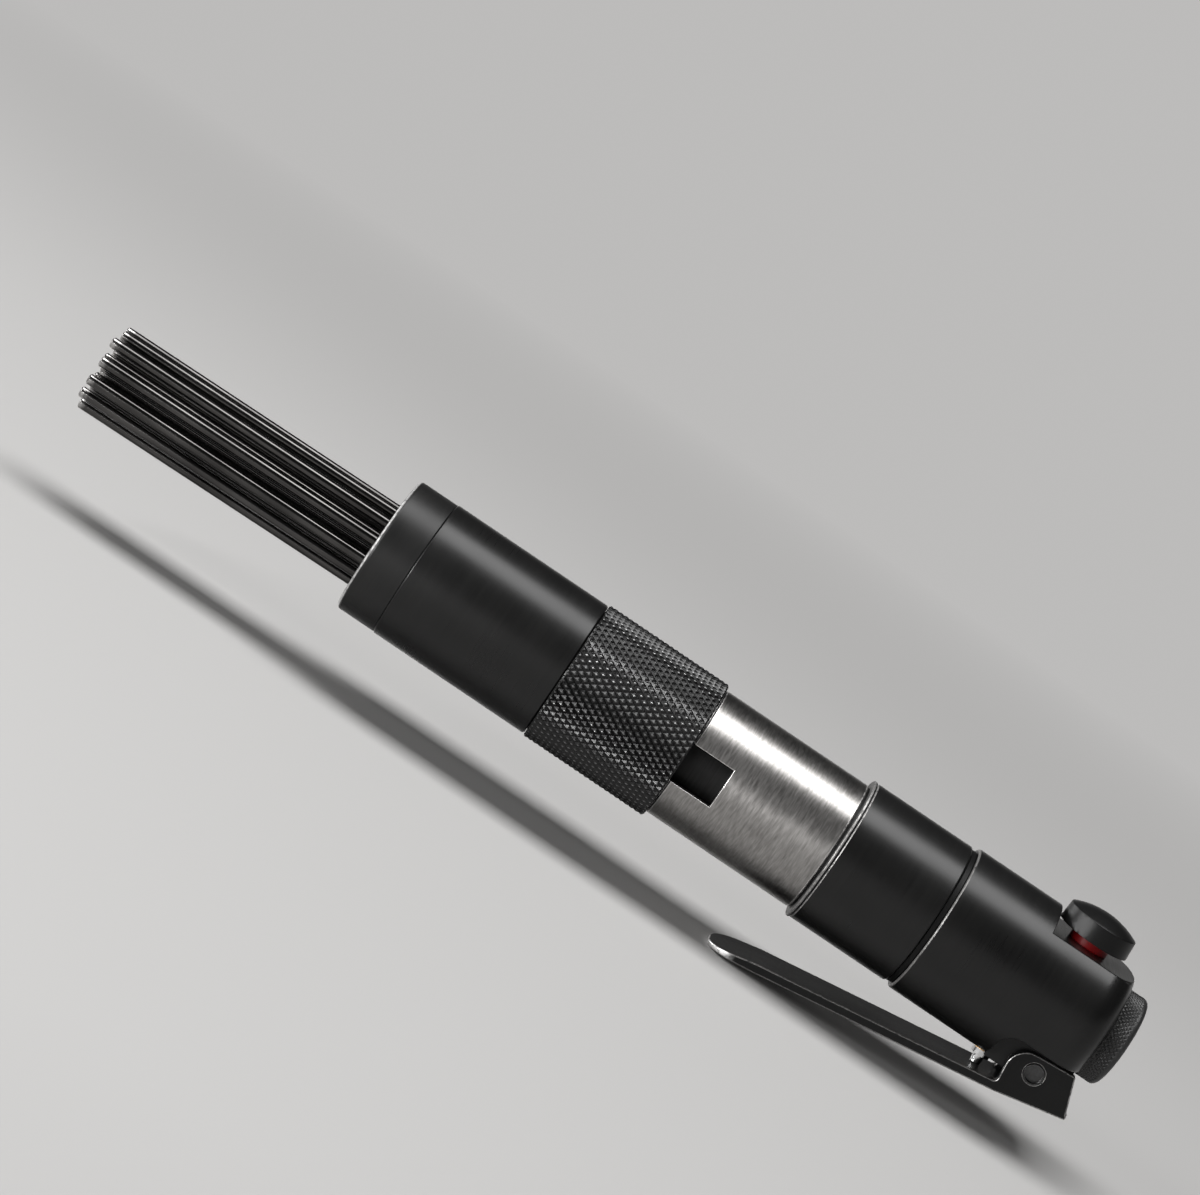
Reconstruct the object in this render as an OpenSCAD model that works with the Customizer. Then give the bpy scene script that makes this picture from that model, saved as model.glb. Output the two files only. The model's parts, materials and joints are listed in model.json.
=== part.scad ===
// Needle scaler: an in-line air tool whose piston hammers a pack of steel needles.
// The tool lies along X. Its air inlet is at the origin and its needles point towards -X.
// The squeeze lever hangs below the handle and the regulator knob stands on top of it.
// Stations are distances forward from the rear face of the inlet, along the tool's axis.

/* [Needles] */
// Diameter of one needle
needle_d = 3; // [2.4:0.1:3.4]
// Length of one needle from the back of its head to its tip
needle_len = 180; // [150:1:220]
// Distance from one ring of needles to the next
needle_pitch = 5.35; // [5:0.05:6.5]
// Forward travel of the needle pack
needle_stroke = 8; // [4:0.5:10]

/* [Front end] */
// Length of the nose ring that shows
nose_len = 11.5; // [8:0.5:18]
// Length of the front tube between the collar and the nose ring
tube_show = 47.2; // [40:0.1:70]
// Wall of the front tube
tube_wall = 3.85; // [3.2:0.05:5]
// Wire of the needle return spring
spring_wire = 2; // [1.5:0.1:2.4]
// Thickness of the needle holder
holder_t = 10; // [8:0.5:13]

/* [Collar] */
// Length of the knurled collar
collar_len = 37.6; // [32:0.1:45]
// Wall of the knurled collar
collar_wall = 2.1; // [1.6:0.1:3]

/* [Steel sleeve] */
// Length of the sleeve that shows
sleeve_len = 44.4; // [40:0.1:60]
// Wall of the sleeve
sleeve_wall = 2.85; // [2.8:0.05:4]
// Length of each exhaust window behind the collar
window_len = 12.3; // [8:0.1:20]
// Width of each exhaust window
window_w = 11.4; // [6:0.1:16]

/* [Hammer] */
// Bore of the barrel
barrel_bore = 20; // [16:0.1:22]
// Length of the piston
piston_len = 30; // [24:0.5:34]
// Diameter of the anvil's tail
anvil_tail_d = 16; // [12:0.5:18]
// Thickness of the anvil's head
anvil_head_t = 4.8; // [4:0.1:6]

/* [Middle housing] */
// Length of the middle housing
mid_len = 29.8; // [27:0.1:40]
// Wall of the middle housing
mid_wall = 3.25; // [2.5:0.05:5]
// Width of each seal ring between the housings
seal_w = 1.6; // [1.2:0.1:2.6]

/* [Handle] */
// Diameter of the handle
handle_d = 42.9; // [40:0.1:48]
// Length of the handle
handle_len = 52.2; // [50:0.1:65]
// Radius of the handle's rear shoulder
shoulder_round = 8; // [5:0.1:8.2]

/* [Air inlet] */
// Diameter of the inlet bushing
inlet_d = 26.2; // [23:0.1:27]
// Length of the inlet bushing behind the handle
inlet_proud = 6.5; // [5:0.1:10]
// Minor diameter of the quarter-inch pipe thread
thread_d = 11.44; // [10:0.01:13]
// Depth of the thread
thread_depth = 12; // [10:0.5:13]

/* [Regulator] */
// Diameter of the regulator knob
knob_d = 20.3; // [17:0.1:21.5]
// Height of the regulator knob
knob_h = 7.4; // [5:0.1:9]
// Distance of the regulator's axis from the handle's rear face
regulator_back = 15.3; // [15:0.1:18]
// Depth of the flat under the knob
pocket_depth = 5.15; // [4.2:0.05:6]

/* [Lever] */
// Length of the lever from its pivot to its tip
lever_reach = 90.4; // [70:0.1:110]
// Width of the lever
lever_w = 19; // [16:0.1:22]
// Thickness of the lever's plate
lever_t = 2.6; // [1.6:0.1:3]
// Angle of the released lever to the tool's axis
lever_rest = 8; // [6:0.1:9]
// Distance of the lever's pivot from the handle's rear face
pivot_back = 8.8; // [8:0.1:12]
// Diameter of the pivot pin
pin_d = 5.5; // [4:0.1:6]

/* [Throttle valve] */
// Distance of the throttle valve's axis from the handle's rear face
valve_back = 21.9; // [21.6:0.1:28]
// Diameter of the valve pin
valve_pin_d = 5.3; // [4.4:0.1:5.6]
// Length of the valve bush
bush_len = 7.7; // [7:0.1:8.4]

/* [Hidden] */
$fn = 64;

// Names of the loose pieces and of the needles
needle_rings = 2;
needle_count = 1 + 3 * needle_rings * (needle_rings + 1);
function needle_name(i) = str("needle_", i < 10 ? "0" : "", i);

// Clearances and small breaks shared by all pieces
run_clear = 0.06;
seat_clear = 0.05;
face_gap = 0.15;
free_gap = 0.3;
edge_break = 0.4;
cut = 1;

// Radii of the front end, worked outwards from the needle bundle
needle_r = needle_d / 2;
bundle_r = needle_rings * needle_pitch + needle_r;
bundle_gap = 1.4;
spring_gap = 0.4;
spring_mean_r = bundle_r + bundle_gap + spring_wire / 2;
bore_r = spring_mean_r + spring_wire / 2 + spring_gap;
holder_gap = 0.2;
holder_r = bore_r - holder_gap;
tube_r = bore_r + tube_wall;
nose_step = 0.2;
nose_r = tube_r - nose_step;
nose_gap = 1.5;
nose_bore_r = bundle_r + nose_gap;
nose_spigot_wall = 1.5;
nose_spigot_r = bore_r + nose_spigot_wall;
nose_spigot_len = 8;
nose_round = 1.3;
spigot_inset = 1.65;
tube_spigot_r = tube_r - spigot_inset;
collar_bore_r = tube_spigot_r + run_clear;
collar_r = collar_bore_r + collar_wall;
collar_break = 0.5;

// Radii of the sleeve, barrel and housings
sleeve_r = bore_r + sleeve_wall;
sleeve_spigot_r = min(tube_spigot_r, sleeve_r - edge_break);
exhaust_gap = 1;
barrel_r = bore_r - exhaust_gap;
barrel_bore_r = barrel_bore / 2;
rear_spigot_wall = 1.4;
rear_spigot_r = bore_r + rear_spigot_wall;
mid_bore_r = rear_spigot_r + seat_clear;
mid_r = mid_bore_r + mid_wall;
handle_r = handle_d / 2;
seal_proud = 0.2;
seal_groove = 0.6;
seal_sink = 0.5;

// Stations along the tool
handle_s0 = inlet_proud;
handle_s1 = handle_s0 + handle_len;
pivot_s = handle_s0 + pivot_back;
regulator_s = handle_s0 + regulator_back;
valve_s = handle_s0 + valve_back;
mid_s0 = handle_s1 + seal_w;
mid_s1 = mid_s0 + mid_len;
sleeve_s0 = mid_s1 + seal_w;
collar_s0 = sleeve_s0 + sleeve_len;
collar_s1 = collar_s0 + collar_len;
nose_s0 = collar_s1 + tube_show;
nose_s1 = nose_s0 + nose_len;
nose_seat_s = nose_s0 - nose_spigot_len;
sleeve_spigot_len = 12.5;
sleeve_s1 = collar_s0 + sleeve_spigot_len;
tube_s0 = sleeve_s1 + free_gap;

// Valve group inside the middle housing
handle_spigot_len = 7;
handle_spigot_s1 = handle_s1 + handle_spigot_len;
cover_t = 3.5;
cover_s0 = handle_spigot_s1 + face_gap;
block_s0 = cover_s0 + cover_t;
block_t = 7;
block_s1 = block_s0 + block_t;
disc_t = 1.2;
disc_travel = 0.8;
disc_play = 0.1;
disc_r = 11;
disc_pocket = disc_t + disc_travel + 2 * disc_play;
disc_s0 = block_s0 + disc_play;
cover_hole_r = 3;
port_r = 1.3;
port_count = 6;
port_circle_r = 7;

// Barrel, piston and anvil
flange_t = 4;
barrel_s0 = block_s1 + face_gap;
barrel_past = 0.7;
barrel_s1 = collar_s0 + barrel_past;
rear_spigot_s0 = barrel_s0 + flange_t + face_gap;
anvil_rim = 1.3;
anvil_head_r = barrel_r - anvil_rim - holder_gap;
anvil_head_s0 = barrel_s1 - anvil_head_t;
bush_seat_s1 = anvil_head_s0 - free_gap;
bush_spare = 0.5;
anvil_bush_len = needle_stroke + bush_spare;
bush_seat_s0 = bush_seat_s1 - anvil_bush_len;
anvil_bush_wall = 3.8;
anvil_tail_r = anvil_tail_d / 2;
anvil_bush_r = anvil_tail_r + run_clear + anvil_bush_wall;
tail_proud = 2;
anvil_tail_s0 = bush_seat_s0 - tail_proud;
piston_r = barrel_bore_r - run_clear;
piston_back_gap = 1;
piston_s0 = barrel_s0 + piston_back_gap;
piston_break = 1;
piston_groove_w = 2;
piston_groove = 0.8;
piston_groove_shares = [0.3, 0.7];

// Needle pack
head_over = 0.7;
head_r = needle_r + head_over;
head_t = 2.4;
needle_stagger = 0.8;
tip_break = 0.35;
hole_gap = 0.15;
head_gap = 0.4;
head_s = barrel_s1 + head_gap;
holder_s0 = head_s + head_t + needle_stagger + free_gap;
holder_s1 = holder_s0 + holder_t;
needle_droop = 0.6;
needle_splay = 0.12;
golden_turn = 137.5;

// Handle, lug and lever
ledge_gap = 2.4;
pivot_cover = 3.65;
pivot_z = -(handle_r - pivot_cover);
pin_r = pin_d / 2;
ear_rise = 4.85;
ear_back_rise = 4.1;
ledge_z = pivot_z + ear_rise + ledge_gap;
ear_cut_len = 22;
ear_cut_round = 5;
lug_side_gap = 0.2;
lug_half = lever_w / 2 - lever_t - lug_side_gap;
lug_gap = 2.4;
plate_drop = pivot_cover + lug_gap;
heel_len = 12.4;
heel_lift = 1.25;
ear_back = 9.9;
ear_front = 7.7;
ear_round = 5.9;
ear_fillet = 1.2;
lever_tip_round = 7.5;
lever_tip_len = 14;
lever_tip_drop = 0.9;
lever_tip_lift = 0.4;
pin_proud = 0.4;
pin_rim = 0.35;
pin_dish_r = pin_r - pin_rim;
pin_dish = 1.2;

// Inlet bushing and screen
inlet_r = inlet_d / 2;
thread_r = thread_d / 2;
inlet_round = 1.5;
inlet_spigot_r = 9.5;
inlet_spigot_len = 8.8;
inlet_spigot_s1 = inlet_proud + inlet_spigot_len;
inlet_bore_r = inlet_spigot_r + seat_clear;
inlet_throat_r = 3.5;
screen_t = 1;
screen_gap = 0.1;
inlet_bore_s1 = inlet_spigot_s1 + screen_t + 2 * screen_gap;
screen_hole_r = 0.9;
screen_hole_count = 6;
screen_circle_r = 2.2;

// Air passage, regulator and throttle valve
passage_r = 3;
knob_r = knob_d / 2;
pocket_gap = 0.9;
pocket_front = regulator_back + knob_r + pocket_gap;
floor_z = handle_r - pocket_depth;
spindle_r = 3.45;
spindle_end_z = -passage_r;
spindle_hole_inset = 0.4;
spindle_hole_r = passage_r - spindle_hole_inset;
shoulder_r = 4.6;
shoulder_h = 3.3;
gland_r = 5.6;
gland_h = 2.4;
gland_neck_r = 5;
gland_neck_h = 3;
gland_pocket_h = gland_neck_h + shoulder_h + face_gap + run_clear;
knob_z = floor_z + gland_h + free_gap;
knob_taper = 0.5;
knob_crown = 2.5;
knob_crown_r = (knob_r * knob_r + knob_crown * knob_crown) / (2 * knob_crown);
knob_socket = 4;
spindle_seal_z = 6.5;
spindle_seal_w = 0.33;
groove_gap = 0.02;

valve_pin_r = valve_pin_d / 2;
bush_recess = 0.25;
bush_r = 4.5;
chamber_r = bush_r + seat_clear;
bush_z0 = -handle_r + bush_recess;
seat_z = bush_z0 + bush_len;
guide_len = 4.2;
gallery_z = bush_z0 + guide_len;
gallery_gap = 0.75;
gallery_r = valve_pin_r + gallery_gap;
bush_port_r = 1.2;
washer_t = 0.8;
washer_r = bush_r - free_gap;
poppet_t = 1.4;
stem_r = 1.5;
washer_z = seat_z + face_gap;
poppet_z = washer_z + washer_t;
chamber_h = 16.95;
chamber_z = -handle_r + chamber_h;
riser_r = 2;
outlet_r = 2;
outlet_rise = 8;
valve_spring_wire = 0.7;
valve_spring_r = 2.9;
valve_spring_turns = 4;
bush_seal_w = 0.42;
bush_seal_up = 2;
bush_seal_z = bush_z0 + bush_seal_up;
lever_gap = 0.16;
valve_arm = valve_s - pivot_s;
valve_tip_z = pivot_z - valve_arm * tan(lever_rest) - plate_drop / cos(lever_rest) + lever_gap;
pin_tip_r = 1.6;
pin_tip_len = 2.4;
dome_r = 2 * pin_tip_r;
dome_h = dome_r - sqrt(dome_r * dome_r - pin_tip_r * pin_tip_r);

return_spring_turns = 9;
spring_s0 = holder_s1 + free_gap;
spring_s1 = nose_seat_s - free_gap;

// Lay children that stand on +Z along the tool, forward from station s
module along(s = 0) {
    rotate([0, -90, 0]) translate([0, 0, s]) children();
}

// A turned piece from points of radius and station
module turned(points) {
    along() rotate_extrude() polygon(points);
}

// Section of a turned ring whose two outer edges are broken
function ring_section(r_in, r_out, s0, s1, b = edge_break) = [
    [r_in, s0], [r_out - b, s0], [r_out, s0 + b], [r_out, s1 - b], [r_out - b, s1], [r_in, s1]
];

// Half section of a disc that stands on the axis, with a round edge at its far end
module round_edge_section(r, h, edge) {
    square([r - edge, h]);
    square([r, h - edge]);
    translate([r - edge, h - edge]) circle(edge);
}

// Groove of a ring seal of wire radius w, sunk into a shaft of radius r
module ring_groove(r, w) {
    deep = 2 * (w + groove_gap);
    rotate_extrude() translate([r, 0]) square([2 * deep, deep], center = true);
}

// Plate of thickness t in the XZ plane, from y upwards
module side_plate(y, t) {
    translate([0, y + t, 0]) rotate([90, 0, 0]) linear_extrude(t) children();
}

// Centre line of a coil, stepped finely enough to keep its flats off the needles
coil_steps = 16;
wire_sides = 6;
function coil_centre(r, h, turns, i) = [
    r * cos(360 * i / coil_steps), r * sin(360 * i / coil_steps), h * i / (turns * coil_steps)
];

// Points of one ring of the wire, square to the coil's centre line
function wire_ring(r, h, turns, wire, i) =
    let (
        a = 360 * i / coil_steps,
        lead = h / turns / (2 * PI * r),
        out = [cos(a), sin(a), 0],
        rise = [lead * sin(a), -lead * cos(a), 1] / sqrt(1 + lead * lead)
    )
    [
        for (k = [0:wire_sides - 1])
            coil_centre(r, h, turns, i)
            + wire / 2 * (cos(360 * k / wire_sides) * out + sin(360 * k / wire_sides) * rise)
    ];

// Least distance between neighbouring turns of a coil
function coil_gap(r, h, turns, wire) = min([
    for (i = [0:(turns - 1) * coil_steps])
        norm(coil_centre(r, h, turns, i + coil_steps) - coil_centre(r, h, turns, i)) - wire
]);

// A coil spring standing on +Z whose wire fills the height from 0 to h
module coil(r, h, turns, wire) {
    rings = turns * coil_steps;
    last = rings * wire_sides;
    points = [for (i = [0:rings]) each wire_ring(r, h - wire, turns, wire, i)];
    sides = [
        for (i = [0:rings - 1], k = [0:wire_sides - 1])
            let (
                a = i * wire_sides + k,
                b = i * wire_sides + (k + 1) % wire_sides
            )
            each [[a, a + wire_sides, b], [b, a + wire_sides, b + wire_sides]]
    ];
    near_cap = [for (k = [1:wire_sides - 2]) [0, k, k + 1]];
    far_cap = [for (k = [1:wire_sides - 2]) [last, last + k + 1, last + k]];
    translate([0, 0, wire / 2]) polyhedron(points, concat(sides, near_cap, far_cap));
}
return_spring_h = spring_s1 - spring_s0;
valve_spring_z0 = poppet_z + poppet_t + face_gap;
valve_spring_h = chamber_z - face_gap - valve_spring_z0;
echo(return_spring_gap = coil_gap(
    spring_mean_r, return_spring_h - spring_wire, return_spring_turns, spring_wire));
echo(valve_spring_gap = coil_gap(
    valve_spring_r, valve_spring_h - valve_spring_wire, valve_spring_turns, valve_spring_wire));

// Needles stand in rings round one at the centre
function ring_of(i) = ceil((sqrt(12 * i + 9) - 3) / 6);
function first_of(ring) = 1 + 3 * ring * (ring - 1);
function needle_place(i) =
    let (
        ring = ring_of(i),
        a = ring == 0 ? 0 : 30 * (2 * (i - first_of(ring)) + 1) / ring
    )
    ring * needle_pitch * [cos(a), sin(a)];
function needle_lead(i) = needle_stagger * (1 + sin(golden_turn * i)) / 2;

// One needle, hung a little low and splayed about the middle of the holder
module needle(i) {
    place = needle_place(i);
    middle = holder_s0 + holder_t / 2;
    back = head_s + needle_lead(i) - middle;
    color("dimgray")
    translate([-middle, place[0], place[1]])
    rotate([0, -needle_droop + needle_splay * sin(golden_turn * i), needle_splay * cos(golden_turn * i)])
    along(back) rotate_extrude() polygon([
        [0, 0], [head_r, 0], [head_r, head_t], [needle_r, head_t],
        [needle_r, needle_len - tip_break], [needle_r - tip_break, needle_len], [0, needle_len]
    ]);
}

// Disc that carries the needles by their heads
module needle_holder() {
    color("gray") difference() {
        turned(ring_section(0, holder_r, holder_s0, holder_s1));
        for (i = [0:needle_count - 1])
            translate([0, needle_place(i)[0], needle_place(i)[1]])
            along(holder_s0 - cut) cylinder(h = holder_t + 2 * cut, r = needle_r + hole_gap);
    }
}

// Spring that pushes the needle pack back
module return_spring() {
    color("silver") along(spring_s0)
    coil(spring_mean_r, return_spring_h, return_spring_turns, spring_wire);
}

// Nose ring with a round lip, spigoted into the front tube
module nose_ring() {
    color([0.16, 0.16, 0.16]) along() rotate_extrude() difference() {
        union() {
            translate([0, nose_s0]) round_edge_section(nose_r, nose_len, nose_round);
            translate([0, nose_seat_s]) square([nose_spigot_r, nose_spigot_len]);
        }
        translate([0, nose_seat_s - cut])
        square([nose_bore_r, nose_spigot_len + nose_len + 2 * cut]);
    }
}

// Front tube round the needles and their spring
module front_tube() {
    seat_r = nose_spigot_r + seat_clear;
    color([0.1, 0.1, 0.1]) turned([
        [bore_r, tube_s0], [tube_spigot_r - edge_break, tube_s0],
        [tube_spigot_r, tube_s0 + edge_break], [tube_spigot_r, collar_s1],
        [tube_r - edge_break, collar_s1], [tube_r, collar_s1 + edge_break],
        [tube_r, nose_s0 - edge_break], [tube_r - edge_break, nose_s0],
        [seat_r, nose_s0], [seat_r, nose_seat_s], [bore_r, nose_seat_s]
    ]);
}

// Collar that couples the front tube to the sleeve
module knurled_collar() {
    color([0.07, 0.07, 0.07])
    turned(ring_section(
        collar_bore_r, collar_r, collar_s0 + face_gap, collar_s1 - face_gap, collar_break));
}

// Steel sleeve with two exhaust windows that run forward under the collar
module steel_sleeve() {
    color("silver") difference() {
        turned([
            [bore_r, rear_spigot_s0], [rear_spigot_r, rear_spigot_s0], [rear_spigot_r, sleeve_s0],
            [sleeve_r - edge_break, sleeve_s0], [sleeve_r, sleeve_s0 + edge_break],
            [sleeve_r, collar_s0 - edge_break], [sleeve_r - edge_break, collar_s0],
            [sleeve_spigot_r, collar_s0], [sleeve_spigot_r, sleeve_s1], [bore_r, sleeve_s1]
        ]);
        translate([-sleeve_s1 - cut, -sleeve_r - cut, -window_w / 2])
        cube([sleeve_s1 + cut - collar_s0 + window_len, 2 * (sleeve_r + cut), window_w]);
    }
}

// Barrel in which the piston runs
module barrel() {
    seat_r = anvil_bush_r + seat_clear;
    head_seat_r = anvil_head_r + holder_gap;
    color([0.2, 0.2, 0.21]) turned([
        [barrel_bore_r, barrel_s0], [rear_spigot_r, barrel_s0],
        [rear_spigot_r, barrel_s0 + flange_t], [barrel_r, barrel_s0 + flange_t],
        [barrel_r, barrel_s1 - edge_break], [barrel_r - edge_break, barrel_s1],
        [head_seat_r, barrel_s1], [head_seat_r, bush_seat_s1], [seat_r, bush_seat_s1],
        [seat_r, bush_seat_s0], [barrel_bore_r, bush_seat_s0]
    ]);
}

// Hammer piston with two oil grooves
module piston() {
    color("gainsboro") difference() {
        turned(ring_section(0, piston_r, piston_s0, piston_s0 + piston_len, piston_break));
        for (share = piston_groove_shares)
            along(piston_s0 + share * piston_len - piston_groove_w / 2)
            difference() {
                cylinder(h = piston_groove_w, r = piston_r + cut);
                translate([0, 0, -cut])
                cylinder(h = piston_groove_w + 2 * cut, r = piston_r - piston_groove);
            }
    }
}

// Anvil that passes each blow to the needle heads
module anvil() {
    color("gray") turned([
        [0, anvil_tail_s0], [anvil_tail_r - edge_break, anvil_tail_s0],
        [anvil_tail_r, anvil_tail_s0 + edge_break], [anvil_tail_r, anvil_head_s0],
        [anvil_head_r, anvil_head_s0], [anvil_head_r, barrel_s1 - edge_break],
        [anvil_head_r - edge_break, barrel_s1], [0, barrel_s1]
    ]);
}

// Bronze bush round the anvil's tail
module anvil_bush() {
    color("peru")
    turned(ring_section(anvil_tail_r + run_clear, anvil_bush_r, bush_seat_s0, bush_seat_s1));
}

// Seal ring that stands proud in front of the middle housing
module sleeve_seal_ring() {
    proud_r = mid_r + seal_proud;
    groove_r = sleeve_r - edge_break;
    lip_s1 = sleeve_s0 - seal_groove;
    color([0.05, 0.05, 0.05]) turned([
        [mid_bore_r, mid_s1], [proud_r - seal_proud, mid_s1], [proud_r, mid_s1 + seal_proud],
        [proud_r, lip_s1 - seal_proud], [proud_r - seal_proud, lip_s1], [groove_r, lip_s1],
        [groove_r, sleeve_s0], [mid_bore_r, sleeve_s0]
    ]);
}

// Middle housing round the valve group
module mid_housing() {
    color([0.1, 0.1, 0.1]) turned(ring_section(mid_bore_r, mid_r, mid_s0, mid_s1));
}

// Ports through a valve plate, from station s over length h
module valve_ports(s, h) {
    for (i = [0:port_count - 1])
        rotate([360 * i / port_count, 0, 0])
        translate([0, 0, port_circle_r])
        along(s - cut) cylinder(h = h + 2 * cut, r = port_r);
}

// Valve block whose pocket lets the disc float
module valve_block() {
    color("darkgray") difference() {
        turned(ring_section(0, rear_spigot_r, block_s0, block_s1));
        along(block_s0 - cut) cylinder(h = cut + disc_pocket, r = disc_r + free_gap);
        valve_ports(block_s0, block_t);
    }
}

// Floating disc that sends air to each end of the barrel in turn
module valve_disc() {
    color("lightgray") along(disc_s0) cylinder(h = disc_t, r = disc_r);
}

// Cover plate behind the valve disc
module valve_cover() {
    color("darkgray") difference() {
        turned(ring_section(cover_hole_r, rear_spigot_r, cover_s0, block_s0));
        valve_ports(cover_s0, cover_t);
    }
}

// Seal ring sunk between the middle housing and the handle
module handle_seal_ring() {
    color([0.05, 0.05, 0.05])
    turned(ring_section(mid_bore_r, mid_r - seal_sink, handle_s1, mid_s0, seal_proud));
}

// Outline of the cut beside the lever lug, open below and behind
module ear_cut_outline() {
    front_x = -handle_s0 - ear_cut_len;
    below = 2 * handle_r;
    translate([front_x, ledge_z - below]) square([ear_cut_len + cut, below - ear_cut_round]);
    translate([front_x + ear_cut_round, ledge_z - below])
    square([ear_cut_len + cut - ear_cut_round, below]);
    translate([front_x + ear_cut_round, ledge_z - ear_cut_round]) circle(ear_cut_round);
}

// Outside of the handle with its lever lug
module handle_body() {
    difference() {
        along() rotate_extrude() {
            translate([0, handle_s1]) mirror([0, 1])
            round_edge_section(handle_r, handle_len, shoulder_round);
            translate([0, handle_s1 - cut]) square([rear_spigot_r, cut + handle_spigot_len]);
        }
        along() rotate_extrude() polygon([
            [handle_r - edge_break, handle_s1 + face_gap], [handle_r + cut, handle_s1 + face_gap],
            [handle_r + cut, handle_s1 - edge_break], [handle_r, handle_s1 - edge_break],
            [handle_r - edge_break, handle_s1]
        ]);
        for (side = [-1, 1])
            side_plate(side > 0 ? lug_half : -lug_half - handle_r, handle_r) ear_cut_outline();
    }
    translate([-handle_s0 - ear_cut_len, -lug_half, -handle_r])
    cube([ear_cut_len, 2 * lug_half, handle_r + ledge_z]);
}

// Handle with a flat for the knob, drilled for the inlet, air passage, regulator and throttle valve
module handle() {
    color([0.1, 0.1, 0.1]) difference() {
        handle_body();
        translate([-handle_s0 - pocket_front, -handle_r - cut, floor_z])
        cube([pocket_front + cut, 2 * (handle_r + cut), pocket_depth + cut]);
        along(-cut) cylinder(h = inlet_bore_s1 + cut, r = inlet_bore_r);
        along(inlet_bore_s1 - cut) cylinder(h = valve_s - inlet_bore_s1 + cut, r = passage_r);
        translate([-regulator_s, 0, spindle_end_z - face_gap])
        cylinder(h = handle_r, r = spindle_r + run_clear);
        translate([-regulator_s, 0, floor_z - gland_pocket_h])
        cylinder(h = gland_pocket_h + cut, r = gland_neck_r + seat_clear);
        translate([-pivot_s, -handle_r, pivot_z]) rotate([-90, 0, 0])
        cylinder(h = handle_d, r = pin_r + seat_clear);
        translate([-valve_s, 0, -handle_r - cut]) cylinder(h = chamber_h + cut, r = chamber_r);
        translate([-valve_s, 0, chamber_z - cut]) cylinder(h = cut - chamber_z, r = riser_r);
        outlet_drilling();
    }
}

// Slanted drilling from the valve chamber to the front face of the handle
module outlet_drilling() {
    start_z = (gallery_z + seat_z) / 2;
    run = handle_spigot_s1 + cut - valve_s;
    translate([-valve_s, 0, start_z])
    rotate([0, -90 + atan(outlet_rise / run), 0])
    cylinder(h = norm([run, outlet_rise]), r = outlet_r);
}

// Inlet bushing with the pipe thread
module inlet_bushing() {
    color([0.12, 0.12, 0.12]) difference() {
        along() rotate_extrude() {
            translate([0, inlet_proud]) mirror([0, 1])
            round_edge_section(inlet_r, inlet_proud, inlet_round);
            square([inlet_spigot_r, inlet_spigot_s1]);
        }
        along(-cut) cylinder(h = thread_depth + cut, r = thread_r);
        along(-cut) cylinder(h = inlet_spigot_s1 + 2 * cut, r = inlet_throat_r);
    }
}

// Screen that keeps dirt out of the valve
module inlet_screen() {
    color("goldenrod") difference() {
        along(inlet_spigot_s1 + screen_gap) cylinder(h = screen_t, r = inlet_spigot_r);
        for (i = [0:screen_hole_count - 1])
            rotate([360 * i / screen_hole_count, 0, 0])
            translate([0, 0, screen_circle_r])
            along(inlet_spigot_s1 - cut) cylinder(h = screen_t + 2 * cut, r = screen_hole_r);
    }
}

// Regulator knob with a crowned top, drawn-in sides and a socket for its spindle
module regulator_knob() {
    color([0.09, 0.09, 0.09]) translate([-regulator_s, 0, knob_z]) difference() {
        rotate_extrude() intersection() {
            polygon([[0, 0], [knob_r, 0], [knob_r - knob_taper, knob_h], [0, knob_h]]);
            translate([0, knob_h - knob_crown_r]) circle(knob_crown_r);
        }
        translate([0, 0, -cut]) cylinder(h = knob_socket + cut, r = spindle_r + seat_clear);
    }
}

// Quarter-turn spindle, cross-drilled in line with the air passage
module regulator_spindle() {
    top_z = knob_z + knob_socket - face_gap;
    shoulder_z = floor_z - gland_neck_h - face_gap - shoulder_h;
    color("silver") difference() {
        translate([-regulator_s, 0, 0]) union() {
            translate([0, 0, spindle_end_z]) cylinder(h = top_z - spindle_end_z, r = spindle_r);
            translate([0, 0, shoulder_z]) cylinder(h = shoulder_h, r = shoulder_r);
        }
        along(regulator_s - spindle_r - cut) cylinder(h = 2 * (spindle_r + cut), r = spindle_hole_r);
        translate([-regulator_s, 0, spindle_seal_z]) ring_groove(spindle_r, spindle_seal_w);
    }
}

// Ring seal in the spindle's groove
module spindle_seal() {
    color([0.05, 0.05, 0.05]) translate([-regulator_s, 0, spindle_seal_z])
    rotate_extrude() translate([spindle_r - spindle_seal_w, 0]) circle(spindle_seal_w);
}

// Red gland that holds the spindle down
module regulator_gland() {
    color("firebrick") translate([-regulator_s, 0, floor_z]) difference() {
        union() {
            cylinder(h = gland_h, r = gland_r);
            translate([0, 0, -gland_neck_h]) cylinder(h = gland_neck_h + gland_h, r = gland_neck_r);
        }
        translate([0, 0, -gland_neck_h - cut])
        cylinder(h = gland_neck_h + gland_h + 2 * cut, r = spindle_r + run_clear);
    }
}

// Side outline of a lever ear, measured from the pivot
module ear_outline() {
    low = -plate_drop - lever_t;
    polygon([
        [ear_back, ear_back_rise], [heel_len, low + heel_lift], [-ear_front, low],
        [-ear_front, ear_rise - ear_round], [ear_round - ear_front, ear_rise]
    ]);
    translate([ear_round - ear_front, ear_rise - ear_round]) circle(ear_round);
    translate([-ear_front - ear_fillet, -plate_drop]) difference() {
        square(ear_fillet);
        translate([0, ear_fillet]) circle(ear_fillet);
    }
}

// Side outline of the lever's plate, lifted at its heel and thinned at its tip
module plate_side() {
    low = -plate_drop - lever_t;
    tip_x = lever_tip_len - lever_reach;
    polygon([
        [heel_len, -plate_drop], [heel_len, low + heel_lift], [-ear_front, low], [tip_x, low],
        [-lever_reach, low + lever_tip_lift], [-lever_reach, -plate_drop - lever_tip_drop],
        [tip_x, -plate_drop]
    ]);
}

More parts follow.
